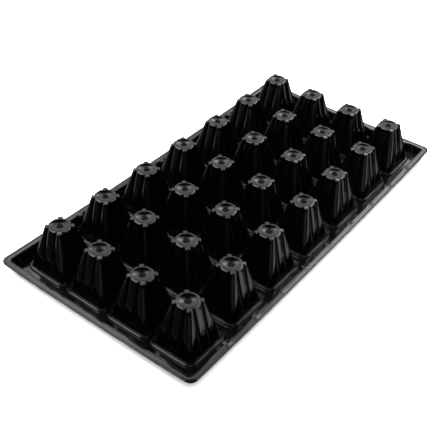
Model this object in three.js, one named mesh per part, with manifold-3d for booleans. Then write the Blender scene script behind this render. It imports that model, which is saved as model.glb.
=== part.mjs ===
// Plug tray of thermoformed black plastic: seven rows of four fluted plug cells,
// a flat deck between the cells and a turned rim around them.
// The tray lies upside down, with its cell mouths at z = 0 and its cell bottoms at the top.
// Millimetres, +X along the length, +Y across the width, +Z up.
// The cells and the rim's sides are separate solids that meet with a hairline gap.
import * as THREE from 'three';
import Module from 'manifold-3d';

// Tray
const TRAY_LENGTH = 540;
const TRAY_WIDTH = 280;
const TRAY_HEIGHT = 60;
const SHEET = 1;
const GAP = 0.3;

// Cell grid
const ROWS = 7;
const COLUMNS = 4;
const PITCH_X = 72.5;
const PITCH_Y = 61.25;

// Plinth: the low step where a cell leaves the deck
const SHOULDER_X = 29.6;
const SHOULDER_Y = 28.7;
const SHOULDER_RADIUS = 8;
const SHOULDER_Z = 4;
const PLINTH_FLARE = 0.8;

// Cell body, which tapers from the shoulder to the crown
const BODY_TOP = 13;
const BODY_TOP_RADIUS = 4.5;
const BODY_TOP_Z = 58;

// Crown: the round bottom of the cell, with a shallow dish and a drain hole
const CROWN_RADIUS = 11.8;
const DISH_RADIUS = 9.6;
const DISH_FLOOR_RADIUS = 8.2;
const DISH_DEPTH = 1.4;
const DRAIN_RADIUS = 3.5;

// Flutes: two narrow upright grooves in each face, which deepen from a foot near the shoulder
const FLUTE_OFFSET = 6.6;
const FLUTE_HALF_WIDTH = 1.4;
const FLUTE_DEPTH = 1.6;
const FLUTE_FOOT_Z = 10;

// Rim: a sloping skirt that rises from the deck to a flat flange with a short lip
const RIM_TOP_Z = 14;
const FLANGE_WIDTH = 7.8;
const SKIRT_RUN = 3.7;
const LIP_DROP = 2;
const RIM_CORNER_RADIUS = 9;
const FLANGE_INNER_RADIUS = 4;
const SKIRT_FOOT_RADIUS = 3;

// Denesting lugs: blocks on the skirts of the long sides, level with the flange, that keep stacked
// trays from wedging together
const LUG_COUNT = 9;
const LUG_PITCH = 51;
const LUG_LENGTH = 8;
const LUG_REACH = 3;
const LUG_FOOT_Z = 7.5;

const CORNER_STEPS = 2;
const CAVITY_CORNER_STEPS = 1;
const RIM_CORNER_STEPS = 4;
const DRAIN_SIDES = 8;
const CUT_MARGIN = 0.5;

const BLACK_PLASTIC = { color: 0x0b0b0d, roughness: 0.22, metalness: 0 };

const wasm = await Module();
wasm.setup();

// A solid through sections that have the same number of points, each section an array of [x, y, z].
// Every section runs anticlockwise as seen from the last section. capOutline holds its points in a plane.
function loft(sections, capOutline) {
  const count = sections[0].length;
  const positions = sections.flat(2);
  const triangles = [];
  for (let level = 0; level + 1 < sections.length; level += 1) {
    for (let i = 0; i < count; i += 1) {
      const next = (i + 1) % count;
      const low = level * count;
      const high = low + count;
      triangles.push(low + i, low + next, high + next, low + i, high + next, high + i);
    }
  }
  const last = (sections.length - 1) * count;
  for (const [a, b, c] of THREE.ShapeUtils.triangulateShape(capOutline, [])) {
    triangles.push(c, b, a, last + a, last + b, last + c);
  }
  const mesh = new wasm.Mesh({
    numProp: 3,
    vertProperties: new Float32Array(positions),
    triVerts: new Uint32Array(triangles),
  });
  return new wasm.Manifold(mesh);
}

// A solid between horizontal outlines.
function stack(outlines) {
  return loft(outlines, outlines[0].map(([x, y]) => new THREE.Vector2(x, y)));
}

// Rounded rectangle at height z, anticlockwise from the start of the +X +Y corner.
function roundedRectangle(halfX, halfY, radius, z, steps = CORNER_STEPS) {
  const points = [];
  for (let corner = 0; corner < 4; corner += 1) {
    const signX = corner === 0 || corner === 3 ? 1 : -1;
    const signY = corner < 2 ? 1 : -1;
    for (let step = 0; step <= steps; step += 1) {
      const angle = (corner + step / steps) * Math.PI / 2;
      points.push([
        signX * (halfX - radius) + radius * Math.cos(angle),
        signY * (halfY - radius) + radius * Math.sin(angle),
        z,
      ]);
    }
  }
  return points;
}

// Circle at height z whose first point lies half a side after the +X axis.
function circle(radius, sides, z) {
  return Array.from({ length: sides }, (_, i) => {
    const angle = (i + 0.5) * 2 * Math.PI / sides;
    return [radius * Math.cos(angle), radius * Math.sin(angle), z];
  });
}

// Half-width of the tapering body at height z, from its half-width at the shoulder.
function bodyHalf(shoulderHalf, z) {
  const rise = (z - SHOULDER_Z) / (BODY_TOP_Z - SHOULDER_Z);
  return shoulderHalf + (BODY_TOP - shoulderHalf) * rise;
}

// Outline of the cell's wall at height z, drawn in by inset.
function wallOutline(z, inset, steps = CORNER_STEPS) {
  const rise = Math.max(0, (z - SHOULDER_Z) / (BODY_TOP_Z - SHOULDER_Z));
  const flare = PLINTH_FLARE * Math.max(0, 1 - Math.max(0, z - SHEET) / (SHOULDER_Z - SHEET));
  const radius = SHOULDER_RADIUS + (BODY_TOP_RADIUS - SHOULDER_RADIUS) * rise;
  const halfX = rise > 0 ? bodyHalf(SHOULDER_X, z) : SHOULDER_X;
  const halfY = rise > 0 ? bodyHalf(SHOULDER_Y, z) : SHOULDER_Y;
  const reach = flare - inset;
  return roundedRectangle(halfX + reach, halfY + reach, radius + reach, z, steps);
}

// One wedge along a face: a V section that starts on the wall and is deepest at the top.
// side counts the faces anticlockwise from +X. inset is how far the wedge's mouth lies inside the outer wall.
function wedge(side, offset, inset, halfWidth, topZ) {
  const shoulderHalf = side % 2 === 0 ? SHOULDER_X : SHOULDER_Y;
  const levels = [
    { z: FLUTE_FOOT_Z, depth: 0 },
    { z: topZ, depth: FLUTE_DEPTH },
  ];
  return stack(levels.map(({ z, depth }) => {
    const face = bodyHalf(shoulderHalf, z) - inset;
    const section = [
      [face - depth, offset],
      [face + CUT_MARGIN, offset - halfWidth],
      [face + CUT_MARGIN, offset + halfWidth],
    ];
    return section.map(([out, along]) => {
      const point = new THREE.Vector2(out, along).rotateAround(new THREE.Vector2(), side * Math.PI / 2);
      return [point.x, point.y, z];
    });
  }));
}

function cutWedges(solid, inset, halfWidth, topZ) {
  let result = solid;
  for (let side = 0; side < 4; side += 1) {
    for (const offset of [-FLUTE_OFFSET, FLUTE_OFFSET]) {
      result = result.subtract(wedge(side, offset, inset, halfWidth, topZ));
    }
  }
  return result;
}

// A cell with its own tile of the deck, centred on the origin.
function cellSolid() {
  const crownSides = 4 * (CORNER_STEPS + 1);
  const dishFloorZ = TRAY_HEIGHT - DISH_DEPTH;
  const cavityTopZ = dishFloorZ - SHEET;
  const tile = new THREE.Vector2(PITCH_X - GAP, PITCH_Y - GAP).divideScalar(2);
  const tileOutline = (z) => [
    [tile.x, tile.y, z], [-tile.x, tile.y, z], [-tile.x, -tile.y, z], [tile.x, -tile.y, z],
  ];

  const deckTile = stack([tileOutline(0), tileOutline(SHEET)]);
  const body = stack([
    ...[0, SHEET, SHOULDER_Z, BODY_TOP_Z].map((z) => wallOutline(z, 0)),
    circle(CROWN_RADIUS, crownSides, TRAY_HEIGHT),
  ]);
  const fluted = cutWedges(body, 0, FLUTE_HALF_WIDTH, TRAY_HEIGHT + CUT_MARGIN);

  const cavity = stack([-CUT_MARGIN, SHEET, SHOULDER_Z, cavityTopZ].map((z) => (
    wallOutline(z, SHEET, CAVITY_CORNER_STEPS)
  )));
  const ribbedCavity = cutWedges(cavity, SHEET, FLUTE_HALF_WIDTH + SHEET / 2, cavityTopZ + CUT_MARGIN);

  const dish = stack([
    circle(DISH_FLOOR_RADIUS, crownSides, dishFloorZ),
    circle(DISH_RADIUS, crownSides, TRAY_HEIGHT),
    circle(DISH_RADIUS, crownSides, TRAY_HEIGHT + CUT_MARGIN),
  ]);
  const drain = stack([
    circle(DRAIN_RADIUS, DRAIN_SIDES, cavityTopZ - CUT_MARGIN),
    circle(DRAIN_RADIUS, DRAIN_SIDES, TRAY_HEIGHT),
  ]);
  return deckTile.add(fluted).subtract(ribbedCavity).subtract(dish).subtract(drain);
}

// One side of the rim, from the middle of one rounded corner to the middle of the next.
// side counts anticlockwise from +X.
function rimSide(side) {
  const deckX = ROWS * PITCH_X / 2 + GAP / 2;
  const deckY = COLUMNS * PITCH_Y / 2 + GAP / 2;
  const edge = (inward, radius, z) => ({
    halfX: TRAY_LENGTH / 2 - inward, halfY: TRAY_WIDTH / 2 - inward, radius, z,
  });
  const skirtFoot = FLANGE_WIDTH + SKIRT_RUN;
  const flangeUnder = RIM_TOP_Z - SHEET;
  const profile = [
    { halfX: deckX, halfY: deckY, radius: GAP, z: SHEET },
    edge(skirtFoot, SKIRT_FOOT_RADIUS, SHEET),
    edge(FLANGE_WIDTH, FLANGE_INNER_RADIUS, RIM_TOP_Z),
    edge(0, RIM_CORNER_RADIUS, RIM_TOP_Z),
    edge(0, RIM_CORNER_RADIUS, RIM_TOP_Z - LIP_DROP),
    edge(SHEET, RIM_CORNER_RADIUS - SHEET, RIM_TOP_Z - LIP_DROP),
    edge(SHEET, RIM_CORNER_RADIUS - SHEET, flangeUnder),
    edge(FLANGE_WIDTH - SHEET, FLANGE_INNER_RADIUS + SHEET, flangeUnder),
    edge(skirtFoot - SHEET, SKIRT_FOOT_RADIUS + SHEET, 0),
    { halfX: deckX, halfY: deckY, radius: GAP, z: 0 },
  ];
  const paths = profile.map(({ halfX, halfY, radius, z }) => (
    roundedRectangle(halfX, halfY, radius, z, RIM_CORNER_STEPS)
  ));

  const perCorner = RIM_CORNER_STEPS + 1;
  const middle = RIM_CORNER_STEPS / 2;
  const first = ((side + 3) % 4) * perCorner + middle;
  const sections = [];
  for (let i = 0; i <= perCorner; i += 1) {
    const index = (first + i) % (4 * perCorner);
    sections.push(paths.map((path) => path[index]));
  }

  // Both ends are drawn back from the mitre by half the gap.
  const along = new THREE.Vector2(0, 1).rotateAround(new THREE.Vector2(), side * Math.PI / 2);
  const drawBack = (section, distance) => (
    section.map(([x, y, z]) => [x + along.x * distance, y + along.y * distance, z])
  );
  const setback = GAP / Math.SQRT2;
  sections[0] = drawBack(sections[0], setback);
  sections[perCorner] = drawBack(sections[perCorner], -setback);

  const strip = loft(sections, profile.map(({ halfX, z }) => new THREE.Vector2(-halfX, z)));
  const isLongSide = side % 2 === 1;
  return isLongSide ? lugs(side).reduce((rim, lug) => rim.add(lug), strip) : strip;
}

// The lugs of one long side, each a short block that reaches into the skirt's wall.
function lugs(side) {
  const skirtAt = (z) => FLANGE_WIDTH + SKIRT_RUN * (RIM_TOP_Z - z) / (RIM_TOP_Z - SHEET);
  const section = [
    [FLANGE_WIDTH + LUG_REACH, LUG_FOOT_Z],
    [FLANGE_WIDTH + LUG_REACH, RIM_TOP_Z],
    [skirtAt(RIM_TOP_Z) - SHEET / 2, RIM_TOP_Z],
    [skirtAt(LUG_FOOT_Z) - SHEET / 2, LUG_FOOT_Z],
  ];
  const capOutline = section.map(([inward, z]) => new THREE.Vector2(inward, z));
  const sectionAt = (along) => section.map(([inward, z]) => {
    const point = new THREE.Vector2(TRAY_WIDTH / 2 - inward, along);
    point.rotateAround(new THREE.Vector2(), side * Math.PI / 2);
    return [point.x, point.y, z];
  });
  return Array.from({ length: LUG_COUNT }, (_, i) => {
    const middle = (i - (LUG_COUNT - 1) / 2) * LUG_PITCH;
    return loft([sectionAt(middle - LUG_LENGTH / 2), sectionAt(middle + LUG_LENGTH / 2)], capOutline);
  });
}

function meshOf(name, solid) {
  const { vertProperties, triVerts } = solid.getMesh();
  const geometry = new THREE.BufferGeometry();
  geometry.setAttribute('position', new THREE.BufferAttribute(vertProperties, 3));
  geometry.setIndex(new THREE.BufferAttribute(triVerts, 1));
  geometry.computeVertexNormals();
  const mesh = new THREE.Mesh(geometry, new THREE.MeshStandardMaterial(BLACK_PLASTIC));
  mesh.name = name;
  return mesh;
}

const tray = new THREE.Group();
const cell = cellSolid();
for (let row = 1; row <= ROWS; row += 1) {
  for (let column = 1; column <= COLUMNS; column += 1) {
    const mesh = meshOf(`cell_r${row}_c${column}`, cell);
    mesh.position.set(
      (row - (ROWS + 1) / 2) * PITCH_X,
      ((COLUMNS + 1) / 2 - column) * PITCH_Y,
      0,
    );
    tray.add(mesh);
  }
}
['rim_right', 'rim_back', 'rim_left', 'rim_front'].forEach((name, side) => {
  tray.add(meshOf(name, rimSide(side)));
});

export default tray;
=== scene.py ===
from collections import Counter
import math

import bpy
from mathutils import Matrix, Vector


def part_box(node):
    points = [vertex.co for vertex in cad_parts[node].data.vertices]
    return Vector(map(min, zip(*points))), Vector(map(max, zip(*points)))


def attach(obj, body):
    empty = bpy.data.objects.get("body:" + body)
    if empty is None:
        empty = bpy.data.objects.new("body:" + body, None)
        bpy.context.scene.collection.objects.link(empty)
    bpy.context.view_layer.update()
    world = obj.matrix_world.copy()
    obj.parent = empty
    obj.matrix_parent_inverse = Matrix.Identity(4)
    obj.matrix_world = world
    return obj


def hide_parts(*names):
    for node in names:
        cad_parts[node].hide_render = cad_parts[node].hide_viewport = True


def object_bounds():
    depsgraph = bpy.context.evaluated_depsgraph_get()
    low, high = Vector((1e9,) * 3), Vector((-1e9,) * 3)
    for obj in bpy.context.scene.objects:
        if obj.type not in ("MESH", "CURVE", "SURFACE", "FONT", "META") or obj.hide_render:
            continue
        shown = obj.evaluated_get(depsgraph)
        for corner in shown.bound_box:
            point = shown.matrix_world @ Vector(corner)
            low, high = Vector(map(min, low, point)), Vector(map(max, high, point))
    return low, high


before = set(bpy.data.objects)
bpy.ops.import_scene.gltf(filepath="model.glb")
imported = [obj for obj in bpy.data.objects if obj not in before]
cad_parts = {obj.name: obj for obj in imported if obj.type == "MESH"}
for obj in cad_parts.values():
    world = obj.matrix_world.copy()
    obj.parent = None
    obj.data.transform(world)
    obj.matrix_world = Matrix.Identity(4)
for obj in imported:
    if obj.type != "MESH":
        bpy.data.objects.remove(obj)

MM = 0.001

# The tray lies upside down: cell mouths at z = 0, cell bottoms at the top.
cad_low, cad_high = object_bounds()
HALF_LENGTH = cad_high[0]
HALF_WIDTH = cad_high[1]
TOP = cad_high[2]

SHEET = 1.0 * MM
DRAWN_SHEET = 0.9 * SHEET
ROWS = 7
COLUMNS = 4

# Cell grid, from the CAD cells
first_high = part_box("cell_r1_c1")[1]
last_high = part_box(f"cell_r{ROWS}_c{COLUMNS}")[1]
PITCH_X = (last_high[0] - first_high[0]) / (ROWS - 1)
PITCH_Y = (first_high[1] - last_high[1]) / (COLUMNS - 1)

# Plinth: the low step where a cell leaves the deck, with a narrow ledge round its top
SHOULDER_X = 29.2 * MM
SHOULDER_Y = 28.3 * MM
SHOULDER_RADIUS = 8 * MM
SHOULDER_Z = 4 * MM
PLINTH_FLARE = 1.4 * MM
LEDGE_HALF_WIDTH = 1.5 * MM
FOOT_FILLET = 0.15 * MM
LEDGE_EDGE = 1.2 * MM
LEDGE_CREASE = 0.25 * MM

# Arcs of the plinth's bends, in degrees: the fillet at its foot, the ledge's edge, the ledge's crease
FOOT_ARC = (0, 80)
EDGE_ARC = (10, 88)
CREASE_ARC = (4, 70)

# Body: the tapering wall from the ledge to the crown
BODY_TOP = 13.2 * MM
BODY_TOP_RADIUS = 4.0 * MM
BODY_TOP_Z = TOP - 2 * MM
WALL_LEVELS = 14

# Crown: a round disc with a bowl in it, which runs out level into four corner lobes
CROWN_FILLET = 1.2 * MM
LOBE_TOP_Z = TOP - 0.12 * MM
LOBE_CORNER_SHRINK = 0.7
WALL_TOP_Z = BODY_TOP_Z - 0.4 * CROWN_FILLET
DISC_RADIUS = 11.6 * MM
DISC_LIP = 0.8 * MM
DISC_CROWNING = 0.03 * MM
BOWL_RADIUS = DISC_RADIUS - DISC_LIP
BOWL_WALL_WIDTH = 1.2 * MM
BOWL_WALL_DROP = 0.15 * MM
BOWL_CURVE = 46 * MM
BOWL_STEPS = 12
BOWL_STEP_POWER = 1.6
DRAIN_RADIUS = 3.7 * MM
DRAIN_LIP = 0.4 * MM
DRAIN_BEVEL = 0.3 * DRAIN_LIP

# Flutes: two narrow upright grooves in each face, with softly bulging panels beside them
FLUTE_OFFSET = 6.7 * MM
FLUTE_HALF_WIDTH = 1.9 * MM
FLUTE_FOOT_Z = 9.8 * MM
FLUTE_FOOT_DEPTH = 0.4 * MM
FLUTE_FOOT_RISE = 1.0 * MM
FLUTE_DEPTH = 2.3 * MM
FLUTE_RISE = 16 * MM
FLUTE_FLOOR_SHARE = 0.1
CROWN_FLUTE_DEPTH = 2.9 * MM
PANEL_BULGE = 0.35 * MM
PANEL_RISE = 12 * MM

# Levels of the wall's rings near the flutes' feet
FIRST_LEVEL = SHOULDER_Z + 2 * MM
BELOW_FOOT = 3 * MM
JUST_BELOW_FOOT = 0.5 * MM
ABOVE_FOOT = 2 * MM
FOOT_LEVEL_STEP = 0.25 * MM
FOOT_LEVELS = 5

# Rim: a skirt that rises from the deck to a flat flange with a short lip
FLANGE_WIDTH = 7.8 * MM
SKIRT_RUN = 3.7 * MM
LIP_DROP = 2 * MM
FLANGE_CORNER_RADIUS = 9 * MM
FLANGE_INNER_RADIUS = 4 * MM
SKIRT_FOOT_RADIUS = 3 * MM
RIM_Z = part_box("rim_left")[1][2]
FOOT_BEND = 1.2 * MM
FLANGE_BEND = 1.0 * MM
LIP_BEND = 0.5 * MM
DECK_CORNER_RADIUS = 0.4 * MM

# Denesting lugs on the skirts of the long sides
LUG_COUNT = 9
LUG_PITCH = 51 * MM
LUG_LENGTH = 8 * MM
LUG_REACH = 3 * MM
LUG_FOOT_Z = 7.5 * MM
LUG_EDGE = 0.7 * MM
LUG_EDGE_STEPS = 4
LUG_FOOT_DROP = 0.5 * MM
LUG_FOOT_RISE = 1.2 * MM
LUG_FOOT_STEP = 0.7 * MM

# A thin sheet doesn't lie quite flat: its ends and sides lift a little and it twists.
END_LIFT = 4.1 * MM
SIDE_LIFT = 1.6 * MM
TWIST_LIFT = 2.0 * MM

# Colours
DARKER_BLACK = (0.0001, 0.0001, 0.0002, 1)
LIGHTER_BLACK = (0.0004, 0.0004, 0.0006, 1)
# Warm brown of the painted glow (emission) on the sheet's inner face
PAINTED_GLOW_BROWN = (1.0, 0.70, 0.46, 1)
PAPER_WHITE = (0.9, 0.9, 0.9, 1)

# Fineness of the meshes
CORNER_STEPS = 8
FILLET_STEPS = 4
GROOVE_STEPS = 5
PANEL_STEPS = 3
RIM_STEP = 10 * MM


def lifted(x, y, z):
    """The point of the warped sheet that lies at x, y, z on a flat one."""
    u = x / HALF_LENGTH
    v = y / HALF_WIDTH
    return (x, y, z + END_LIFT * u * u + SIDE_LIFT * v * v + TWIST_LIFT * u * v)


def mix(a, b, share):
    """The value that lies a share of the way from a to b."""
    return a + (b - a) * share


def smooth(t):
    """0 below 0, 1 above 1, and an even S between."""
    t = min(1.0, max(0.0, t))
    return t * t * (3 - 2 * t)


def arc(ends, steps):
    """Angles in radians from one end to the other, both given in degrees."""
    return [math.radians(mix(*ends, step / steps)) for step in range(steps + 1)]


# ---------------------------------------------------------------- cell outline

def face_stations():
    """Places across a face, as distances from its middle, close together over the grooves."""
    half_panel = FLUTE_OFFSET - FLUTE_HALF_WIDTH
    groove = [FLUTE_HALF_WIDTH * s / GROOVE_STEPS for s in range(-GROOVE_STEPS, GROOVE_STEPS + 1)]
    panel = [half_panel * s / PANEL_STEPS for s in range(1 - PANEL_STEPS, PANEL_STEPS)]
    return [g - FLUTE_OFFSET for g in groove] + panel + [g + FLUTE_OFFSET for g in groove]


STATIONS = face_stations()


def face_inset(t, depth, bulge):
    """How far a face lies inside its plain outline at a distance t from its middle."""
    inset = 0.0
    for middle in (-FLUTE_OFFSET, FLUTE_OFFSET):
        away = abs(t - middle) / FLUTE_HALF_WIDTH
        inset += depth * (1 - smooth((away - FLUTE_FLOOR_SHARE) / (1 - FLUTE_FLOOR_SHARE)))
    if abs(t) < FLUTE_OFFSET:
        inset -= bulge * math.cos(0.5 * math.pi * t / FLUTE_OFFSET) ** 2
    return inset


def outline(half_x, half_y, radius, z, depth=0.0, bulge=0.0):
    """A rounded rectangle at height z with grooves in its sides, anticlockwise from its +X +Y corner."""
    points = []
    for corner in range(4):
        turn = Matrix.Rotation(corner * math.pi / 2, 3, "Z")
        half_out, half_along = (half_x, half_y) if corner % 2 == 0 else (half_y, half_x)
        for step in range(CORNER_STEPS + 1):
            angle = step / CORNER_STEPS * math.pi / 2
            out = half_out - radius + radius * math.cos(angle)
            along = half_along - radius + radius * math.sin(angle)
            points.append(turn @ Vector((out, along, z)))
        for t in STATIONS:
            points.append(turn @ Vector((-t, half_along - face_inset(t, depth, bulge), z)))
    return points


def tile_outline(half_x, half_y, radius, z):
    """The cell's tile of deck, with a point for each point of the outline of that size."""
    points = []
    for corner in range(4):
        turn = Matrix.Rotation(corner * math.pi / 2, 3, "Z")
        half_out, half_along = (half_x, half_y) if corner % 2 == 0 else (half_y, half_x)
        pitch_out, pitch_along = (PITCH_X, PITCH_Y) if corner % 2 == 0 else (PITCH_Y, PITCH_X)
        tile_out = pitch_out / 2
        tile_along = pitch_along / 2
        for step in range(CORNER_STEPS + 1):
            share = 2 * step / CORNER_STEPS
            out = mix(tile_out, half_out - radius, max(0.0, share - 1))
            along = mix(half_along - radius, tile_along, min(1.0, share))
            points.append(turn @ Vector((out, along, z)))
        for t in STATIONS:
            points.append(turn @ Vector((-t, tile_along, z)))
    return points


def circle(radius, z, like):
    """A circle whose points lie in the same directions as those of the outline like."""
    return [(p.xy.normalized() * radius).to_3d() + Vector((0, 0, z)) for p in like]


# ---------------------------------------------------------------- cell surface

def body_size(z):
    """Half-widths and corner radius of the body's wall at height z."""
    rise = (z - SHOULDER_Z) / (BODY_TOP_Z - SHOULDER_Z)
    return (
        mix(SHOULDER_X - LEDGE_HALF_WIDTH, BODY_TOP, rise),
        mix(SHOULDER_Y - LEDGE_HALF_WIDTH, BODY_TOP, rise),
        mix(SHOULDER_RADIUS - LEDGE_HALF_WIDTH, BODY_TOP_RADIUS, rise),
    )


def plinth_rings():
    """From the tile's edge over the plinth and its ledge to the start of the body's wall."""
    def ring(outset, z):
        return outline(SHOULDER_X + outset, SHOULDER_Y + outset, SHOULDER_RADIUS + outset, z)

    reach = PLINTH_FLARE + FOOT_FILLET
    rings = [tile_outline(SHOULDER_X + reach, SHOULDER_Y + reach, SHOULDER_RADIUS + reach, SHEET)]
    for angle in arc(FOOT_ARC, FILLET_STEPS):
        outset = reach - FOOT_FILLET * math.sin(angle)
        rings.append(ring(outset, SHEET + FOOT_FILLET * (1 - math.cos(angle))))
    for angle in arc(EDGE_ARC, 2 * FILLET_STEPS):
        outset = LEDGE_HALF_WIDTH - LEDGE_EDGE * (1 - math.cos(angle))
        rings.append(ring(outset, SHOULDER_Z - LEDGE_EDGE * (1 - math.sin(angle))))
    for angle in arc(CREASE_ARC, FILLET_STEPS):
        outset = -LEDGE_HALF_WIDTH + LEDGE_CREASE * (1 - math.sin(angle))
        rings.append(ring(outset, SHOULDER_Z + LEDGE_CREASE * (1 - math.cos(angle))))
    return rings


def flute_depth(z):
    """A small step at the flute's foot, then a groove that deepens up the wall."""
    above_foot = z - FLUTE_FOOT_Z
    step = FLUTE_FOOT_DEPTH * smooth(above_foot / FLUTE_FOOT_RISE)
    groove = (FLUTE_DEPTH - FLUTE_FOOT_DEPTH) * smooth(above_foot / FLUTE_RISE)
    crown = (CROWN_FLUTE_DEPTH - FLUTE_DEPTH) * smooth(above_foot / (BODY_TOP_Z - FLUTE_FOOT_Z))
    return step + groove + crown


def wall_rings():
    """The body's tapering wall with its flutes."""
    levels = [FIRST_LEVEL, FLUTE_FOOT_Z - BELOW_FOOT, FLUTE_FOOT_Z - JUST_BELOW_FOOT]
    levels += [FLUTE_FOOT_Z + FOOT_LEVEL_STEP * step for step in range(FOOT_LEVELS)]
    start = FLUTE_FOOT_Z + ABOVE_FOOT
    levels += [mix(start, WALL_TOP_Z, step / WALL_LEVELS) for step in range(WALL_LEVELS + 1)]
    rings = []
    for z in levels:
        bulge = PANEL_BULGE * smooth((z - FLUTE_FOOT_Z) / PANEL_RISE)
        rings.append(outline(*body_size(z), z, flute_depth(z), bulge))
    return rings


def bowl_z(r):
    """Height of the bowl: a short steep wall inside the disc's lip, then a gently curved floor."""
    down_wall = min(1.0, (BOWL_RADIUS - r) / BOWL_WALL_WIDTH)
    wall = BOWL_WALL_DROP * math.sin(down_wall * math.pi / 2)
    floor = (BOWL_RADIUS ** 2 - r ** 2) / (2 * BOWL_CURVE)
    return TOP - DISC_CROWNING - wall - floor


def crown_rings():
    """The wall's rounded top edge, the lobes, the disc with its bowl, and the drain hole's lip."""
    half_x, half_y, radius = body_size(WALL_TOP_Z)
    rise = LOBE_TOP_Z - WALL_TOP_Z
    steps = 2 * FILLET_STEPS
    rings = []
    for step in range(1, steps + 1):
        angle = step / steps * math.pi / 2
        inset = CROWN_FILLET * (1 - math.cos(angle))
        corner = radius - LOBE_CORNER_SHRINK * inset
        z = WALL_TOP_Z + rise * math.sin(angle)
        # The groove's floor stays upright while the edges beside it roll inwards.
        depth = CROWN_FLUTE_DEPTH - inset
        rings.append(outline(half_x - inset, half_y - inset, corner, z, depth, PANEL_BULGE))

    edge = rings[-1]
    foot = circle(DISC_RADIUS, TOP - DISC_CROWNING, edge)
    rings.append([mix(a, b, 0.5) for a, b in zip(edge, foot)])
    for step in range(steps + 1):
        across = 2 * step / steps - 1
        lip_radius = DISC_RADIUS - DISC_LIP * step / steps
        rings.append(circle(lip_radius, TOP - DISC_CROWNING * across * across, edge))

    for step in range(1, BOWL_STEPS + 1):
        # The steps are short on the steep wall and longer over the floor.
        share = (step / BOWL_STEPS) ** BOWL_STEP_POWER
        r = mix(BOWL_RADIUS, DRAIN_RADIUS + DRAIN_LIP, share)
        rings.append(circle(r, bowl_z(r), edge))
    drain_z = bowl_z(DRAIN_RADIUS)
    rings.append(circle(DRAIN_RADIUS + DRAIN_BEVEL, drain_z - DRAIN_BEVEL, edge))
    rings.append(circle(DRAIN_RADIUS, drain_z - DRAIN_LIP, edge))
    return rings


# ---------------------------------------------------------------- meshes

def mesh_object(name, rows, closed):
    """A piece from rows of points, each row joined to the next. closed joins each row's ends."""
    count = len(rows[0])
    last = count if closed else count - 1
    faces = []
    for row in range(len(rows) - 1):
        low = row * count
        high = low + count
        for i in range(last):
            j = (i + 1) % count
            faces.append((low + i, low + j, high + j, high + i))
    mesh = bpy.data.meshes.new(name)
    mesh.from_pydata([p for row in rows for p in row], [], faces)
    mesh.validate()
    for polygon in mesh.polygons:
        polygon.use_smooth = True

    # Cut edges are sharp, so that neighbouring pieces shade as one sheet across the join.
    faces_on_edge = Counter(key for polygon in mesh.polygons for key in polygon.edge_keys)
    for edge in mesh.edges:
        edge.use_edge_sharp = faces_on_edge[edge.key] == 1
    piece = bpy.data.objects.new(name, mesh)
    bpy.context.scene.collection.objects.link(piece)
    return piece


def finish_piece(piece, node, outside, inside):
    """Give the sheet its thickness and its two faces' materials. It stands for its CAD node."""
    piece.data.materials.append(outside)
    piece.data.materials.append(inside)
    solidify = piece.modifiers.new("sheet", "SOLIDIFY")
    solidify.thickness = DRAWN_SHEET
    solidify.offset = -1
    solidify.material_offset = 1
    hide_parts(node)
    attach(piece, "root")


def make_cells(outside, inside):
    """Every cell from one set of rings, moved to its place and warped with the sheet."""
    rings = plinth_rings() + wall_rings() + crown_rings()
    for row in range(1, ROWS + 1):
        for column in range(1, COLUMNS + 1):
            node = f"cell_r{row}_c{column}"
            low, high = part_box(node)
            middle = Vector(((low[0] + high[0]) / 2, (low[1] + high[1]) / 2, 0))
            rows = [[lifted(*(p + middle)) for p in ring] for ring in rings]
            finish_piece(mesh_object(f"formed_{node}", rows, closed=True), node, outside, inside)


# ---------------------------------------------------------------- rim

def rim_profile():
    """The rim's upper surface from lip to deck: (inward, corner radius, z, lug reach)."""
    slope = math.atan2(RIM_Z - SHEET, SKIRT_RUN)
    foot = FLANGE_WIDTH + SKIRT_RUN
    profile = [(0, FLANGE_CORNER_RADIUS, RIM_Z - LIP_DROP, 0)]
    for step in range(FILLET_STEPS + 1):
        angle = step / FILLET_STEPS * math.pi / 2
        inward = LIP_BEND * (1 - math.cos(angle))
        z = RIM_Z - LIP_BEND * (1 - math.sin(angle))
        profile.append((inward, FLANGE_CORNER_RADIUS - inward, z, 0))

    bend = FLANGE_BEND * math.tan(slope / 2)
    for step in range(FILLET_STEPS + 1):
        angle = slope * step / FILLET_STEPS
        inward = FLANGE_WIDTH - bend + FLANGE_BEND * math.sin(angle)
        z = RIM_Z - FLANGE_BEND * (1 - math.cos(angle))
        profile.append((inward, FLANGE_INNER_RADIUS, z, LUG_REACH))
    for lift in (2 * LUG_FOOT_STEP, LUG_FOOT_STEP, 0, -LUG_FOOT_DROP):
        z = LUG_FOOT_Z + lift
        inward = mix(foot, FLANGE_WIDTH, (z - SHEET) / (RIM_Z - SHEET))
        shown = smooth((lift + LUG_FOOT_DROP) / LUG_FOOT_RISE)
        reach = (FLANGE_WIDTH + LUG_REACH - inward) * shown
        profile.append((inward, FLANGE_INNER_RADIUS, z, reach))
    bend = FOOT_BEND * math.tan(slope / 2)
    for step in range(FILLET_STEPS + 1):
        angle = slope * (1 - step / FILLET_STEPS)
        inward = foot + bend - FOOT_BEND * math.sin(angle)
        z = SHEET + FOOT_BEND * (1 - math.cos(angle))
        profile.append((inward, SKIRT_FOOT_RADIUS, z, 0))
    return profile


def lug_share(along):
    """1 on a lug, 0 off it, for a place along a long side."""
    nearest = round(along / LUG_PITCH) * LUG_PITCH
    if abs(nearest) > LUG_PITCH * (LUG_COUNT // 2 + 0.5):
        return 0.0
    return 1 - smooth((abs(along - nearest) - LUG_LENGTH / 2) / LUG_EDGE)


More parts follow.
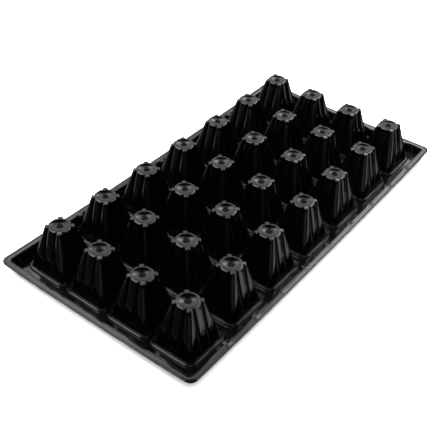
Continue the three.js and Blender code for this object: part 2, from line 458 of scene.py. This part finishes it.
def rim_stations(side):
    """Places along the straight part of a side, with extra ones over the ends of the lugs."""
    end = (HALF_LENGTH if side % 2 else HALF_WIDTH) - 2 * FLANGE_CORNER_RADIUS
    steps = round(2 * end / RIM_STEP)
    places = [mix(-end, end, step / steps) for step in range(steps + 1)]
    if side % 2:
        shares = [step / LUG_EDGE_STEPS for step in range(LUG_EDGE_STEPS + 1)]
        ends = [LUG_LENGTH / 2 + LUG_EDGE * share for share in shares]
        middles = [LUG_PITCH * (i - LUG_COUNT // 2) for i in range(LUG_COUNT)]
        near = [m + e for m in middles for e in ends] + [m - e for m in middles for e in ends]
        clear = LUG_LENGTH / 2 + 2 * LUG_EDGE
        places = [p for p in places if all(abs(p - m) > clear for m in middles)] + near
    return sorted(places)


def rim_row(half_x, half_y, radius, z, reach, side):
    """Points along one side, from mid-corner to mid-corner. side counts anticlockwise from +X."""
    turn = Matrix.Rotation(side * math.pi / 2, 3, "Z")
    half_out, half_along = (half_x, half_y) if side % 2 == 0 else (half_y, half_x)
    corner = []
    for step in range(CORNER_STEPS + 1):
        angle = math.pi / 4 * step / CORNER_STEPS
        out = half_out - radius + radius * math.cos(angle)
        along = half_along - radius + radius * math.sin(angle)
        corner.append((out, along))
    straight = [(half_out - reach * lug_share(place), place) for place in rim_stations(side)]
    points = [(out, -along) for out, along in reversed(corner)] + straight + corner
    return [turn @ Vector((out, along, z)) for out, along in points]


def make_rim(outside, inside):
    """The rim's four sides, each from the lip's edge in to the cells."""
    grid_x = ROWS * PITCH_X / 2
    grid_y = COLUMNS * PITCH_Y / 2
    for side, node in enumerate(("rim_right", "rim_back", "rim_left", "rim_front")):
        rows = []
        for inward, radius, z, reach in rim_profile():
            rows.append(rim_row(HALF_LENGTH - inward, HALF_WIDTH - inward, radius, z, reach, side))
        rows.append(rim_row(grid_x, grid_y, DECK_CORNER_RADIUS, SHEET, 0, side))
        rows = [[lifted(*p) for p in row] for row in rows]
        finish_piece(mesh_object(f"formed_{node}", rows, closed=False), node, outside, inside)


# ---------------------------------------------------------------- material

def black_plastic():
    """Glossy black sheet with soft ripples, fine upright draw lines on the walls and a faint grain."""
    material = bpy.data.materials.new("black_plastic_sheet")
    material.use_nodes = True
    nodes = material.node_tree.nodes
    links = material.node_tree.links
    shader = nodes["Principled BSDF"]
    place = nodes.new("ShaderNodeNewGeometry")

    def noise(scale, detail, stretch=(1, 1, 1)):
        mapping = nodes.new("ShaderNodeMapping")
        mapping.inputs["Scale"].default_value = stretch
        links.new(place.outputs["Position"], mapping.inputs["Vector"])
        node = nodes.new("ShaderNodeTexNoise")
        node.inputs["Scale"].default_value = scale
        node.inputs["Detail"].default_value = detail
        links.new(mapping.outputs["Vector"], node.inputs["Vector"])
        return node.outputs["Fac"]

    def ranged(value, low, high, out_low, out_high):
        node = nodes.new("ShaderNodeMapRange")
        node.inputs["From Min"].default_value = low
        node.inputs["From Max"].default_value = high
        node.inputs["To Min"].default_value = out_low
        node.inputs["To Max"].default_value = out_high
        links.new(value, node.inputs["Value"])
        return node.outputs["Result"]

    def bump(height, strength, distance, normal=None):
        node = nodes.new("ShaderNodeBump")
        node.inputs["Strength"].default_value = strength
        node.inputs["Distance"].default_value = distance
        links.new(height, node.inputs["Height"])
        if normal:
            links.new(normal, node.inputs["Normal"])
        return node.outputs["Normal"]

    colour = nodes.new("ShaderNodeMix")
    colour.data_type = "RGBA"
    colour.inputs["A"].default_value = DARKER_BLACK
    colour.inputs["B"].default_value = LIGHTER_BLACK
    links.new(noise(scale=60, detail=3), colour.inputs["Factor"])
    links.new(colour.outputs["Result"], shader.inputs["Base Color"])
    patches = noise(scale=220, detail=4)
    roughness = ranged(patches, low=0.35, high=0.75, out_low=0.08, out_high=0.17)
    links.new(roughness, shader.inputs["Roughness"])
    shader.inputs["IOR"].default_value = 1.5

    ripple = bump(noise(scale=110, detail=2), strength=0.13, distance=0.35 * MM)
    upright = noise(scale=420, detail=2, stretch=(1, 1, 0.06))
    draw_lines = bump(upright, strength=0.12, distance=0.12 * MM, normal=ripple)
    fine = noise(scale=1500, detail=2)
    grain = bump(fine, strength=0.10, distance=0.04 * MM, normal=draw_lines)
    links.new(grain, shader.inputs["Normal"])
    return material


def painted_glow_inside(outside):
    """The same sheet's inner face, with a faint warm brown glow painted on as emission: painted light
    for the trace of light seen through the thin plastic.
    """
    material = outside.copy()
    material.name = "black_plastic_inside_painted_glow"
    shader = material.node_tree.nodes["Principled BSDF"]
    # Painted glow: a weak warm brown emission on the inner face stands in for light, not the plastic's
    # own colour.
    shader.inputs["Emission Color"].default_value = PAINTED_GLOW_BROWN
    shader.inputs["Emission Strength"].default_value = 0.018
    return material


# ---------------------------------------------------------------- stage

def make_floor():
    """A plain white floor just under the tray, which the glossy sheet doesn't mirror."""
    reach = 4.0
    drop = 0.2 * MM
    mesh = bpy.data.meshes.new("floor")
    corners = [(-reach, -reach, 0), (reach, -reach, 0), (reach, reach, 0), (-reach, reach, 0)]
    mesh.from_pydata(corners, [], [(0, 1, 2, 3)])
    floor = bpy.data.objects.new("floor", mesh)
    floor.location.z = -drop
    bpy.context.scene.collection.objects.link(floor)
    material = bpy.data.materials.new("white_paper")
    material.use_nodes = True
    shader = material.node_tree.nodes["Principled BSDF"]
    shader.inputs["Base Color"].default_value = PAPER_WHITE
    shader.inputs["Roughness"].default_value = 0.9
    mesh.materials.append(material)
    floor.visible_glossy = False


def make_overhead_light():
    """A broad soft light that whitens the floor. The glossy sheet mirrors the world instead."""
    data = bpy.data.lights.new("overhead", "AREA")
    data.shape = "DISK"
    data.size = 3.0
    data.energy = 200
    light = bpy.data.objects.new("overhead", data)
    light.location = (0, 0, 2.2)
    light.visible_glossy = False
    bpy.context.scene.collection.objects.link(light)


def make_world():
    """Soft light from a few broad directions, as a studio's screens give it."""
    world = bpy.data.worlds.new("studio")
    bpy.context.scene.world = world
    world.use_nodes = True
    nodes = world.node_tree.nodes
    links = world.node_tree.links
    background = nodes["Background"]
    background.inputs["Color"].default_value = (1, 1, 1, 1)
    place = nodes.new("ShaderNodeTexCoord")

    def ramp(value, low, high, strength=1.0):
        """0 where value is below low, a smooth rise to strength at high."""
        node = nodes.new("ShaderNodeMapRange")
        node.interpolation_type = "SMOOTHSTEP"
        node.inputs["From Min"].default_value = low
        node.inputs["From Max"].default_value = high
        node.inputs["To Max"].default_value = strength
        links.new(value, node.inputs["Value"])
        return node.outputs["Result"]

    def combine(operation, *values):
        """One value made from several by the same operation."""
        total = values[0]
        for value in values[1:]:
            node = nodes.new("ShaderNodeMath")
            node.operation = operation
            links.new(total, node.inputs[0])
            links.new(value, node.inputs[1])
            total = node.outputs[0]
        return total

    def glow(azimuth, elevation, core, edge, strength):
        """Light round one direction: full within core of it, none beyond edge, all in degrees."""
        across = math.cos(math.radians(elevation))
        east = across * math.cos(math.radians(azimuth))
        north = across * math.sin(math.radians(azimuth))
        dot = nodes.new("ShaderNodeVectorMath")
        dot.operation = "DOT_PRODUCT"
        dot.inputs[1].default_value = (east, north, math.sin(math.radians(elevation)))
        links.new(place.outputs["Generated"], dot.inputs[0])
        low = math.cos(math.radians(edge))
        return ramp(dot.outputs["Value"], low, math.cos(math.radians(core)), strength)

    height = nodes.new("ShaderNodeSeparateXYZ")
    links.new(place.outputs["Generated"], height.inputs[0])

    def above(low, high):
        """0 below the elevation low, a smooth rise to 1 at high."""
        low_z = math.sin(math.radians(low))
        return ramp(height.outputs["Z"], low_z, math.sin(math.radians(high)))

    def below(high, low):
        """0 above the elevation high, a smooth rise to 1 at low."""
        down = nodes.new("ShaderNodeMath")
        down.operation = "MULTIPLY"
        down.inputs[1].default_value = -1
        links.new(height.outputs["Z"], down.inputs[0])
        high_z = -math.sin(math.radians(high))
        return ramp(down.outputs[0], high_z, -math.sin(math.radians(low)))

    # A screen stands behind the tray, brighter near its two ends.
    screen_glow = glow(azimuth=36, elevation=40, core=40, edge=60, strength=1.35)
    screen = combine("MULTIPLY", screen_glow, above(0, 36), below(53, 49))
    screen_right = glow(azimuth=22, elevation=39, core=3.5, edge=7.5, strength=3.0)
    screen_left = glow(azimuth=50, elevation=45.5, core=2, edge=8, strength=1.7)

    # Two lamps at the sides, and pale table beyond the tray's edges
    lamp_right = glow(azimuth=-40, elevation=38, core=10, edge=18, strength=6)
    lamp_left = glow(azimuth=135, elevation=48, core=10, edge=18, strength=14)
    table_right = glow(azimuth=-66, elevation=-18, core=14, edge=27, strength=1.1)
    table_left = glow(azimuth=152, elevation=-12, core=20, edge=45, strength=0.05)
    table_far = glow(azimuth=100, elevation=-18, core=14, edge=30, strength=0.6)

    # Softer light from the other sides and from overhead
    side_left = glow(azimuth=130, elevation=32, core=20, edge=50, strength=0.35)
    side_right = glow(azimuth=-60, elevation=32, core=20, edge=50, strength=0.35)
    side_near = glow(azimuth=215, elevation=35, core=25, edge=60, strength=0.35)
    ceiling = glow(azimuth=215, elevation=68, core=12, edge=38, strength=0.5)
    total = combine(
        "ADD", screen, screen_right, screen_left, lamp_right, lamp_left,
        table_right, table_left, table_far, side_left, side_right, side_near, ceiling,
    )

    # The backdrop itself is white.
    path = nodes.new("ShaderNodeLightPath")
    seen = combine("MAXIMUM", total, path.outputs["Is Camera Ray"])
    links.new(seen, background.inputs["Strength"])


def make_camera():
    """Looks along the tray from its near corner and down, a little rolled."""
    azimuth = math.radians(35.48)
    elevation = math.radians(39.34)
    roll = math.radians(3.07)
    distance = 0.9004
    target = Vector((-0.0598, -0.0080, 0.030))
    forward = Vector((
        math.cos(elevation) * math.cos(azimuth),
        math.cos(elevation) * math.sin(azimuth),
        -math.sin(elevation),
    ))
    data = bpy.data.cameras.new("camera")
    data.sensor_width = 36
    data.lens = 61.9
    data.clip_start = 0.01
    camera = bpy.data.objects.new("camera", data)
    upright = forward.to_track_quat("-Z", "Y").to_matrix().to_4x4()
    place = Matrix.Translation(target - forward * distance)
    camera.matrix_world = place @ upright @ Matrix.Rotation(roll, 4, "Z")
    bpy.context.scene.collection.objects.link(camera)
    bpy.context.scene.camera = camera


outside = black_plastic()
inside = painted_glow_inside(outside)
make_cells(outside, inside)
make_rim(outside, inside)
make_floor()
make_overhead_light()
make_world()
make_camera()
bpy.context.scene.view_settings.view_transform = "Standard"
